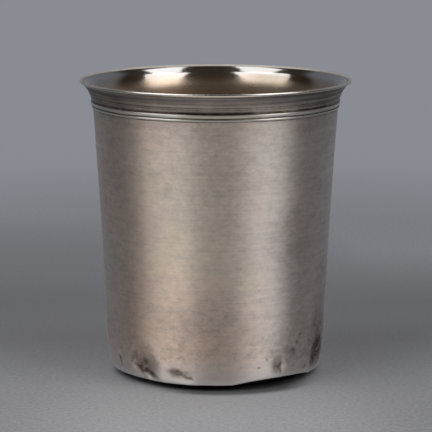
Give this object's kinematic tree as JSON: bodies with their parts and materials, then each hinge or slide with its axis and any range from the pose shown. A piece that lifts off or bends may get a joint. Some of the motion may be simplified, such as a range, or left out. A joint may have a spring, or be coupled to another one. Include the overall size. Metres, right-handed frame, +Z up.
{
  "type": "drinking beaker",
  "caption": "Tapering silver drinking beaker with a trumpet-flared, wire-edged lip, two reeds under the flare, and a dished, let-in base.",
  "frame": {"origin": "centre of the foot, on the table plane", "axes": "+Z up along the beaker's axis, -Y towards the side the picture shows, side seam at +Y"},
  "size_m": [0.0734, 0.0734, 0.08],
  "materials": {
    "aged_silver": "satin",
    "bright_silver": "satin",
    "reed_silver": "satin",
    "base_silver": "satin",
    "silver_solder": "satin"
  },
  "bodies": {
    "root": {"drum": "aged_silver", "side_seam_solder": "silver_solder", "lip_wire": "bright_silver", "upper_reed_wire": "reed_silver", "lower_reed_wire": "reed_silver", "base_disc": "base_silver", "base_solder": "silver_solder"}
  },
  "joints": []
}
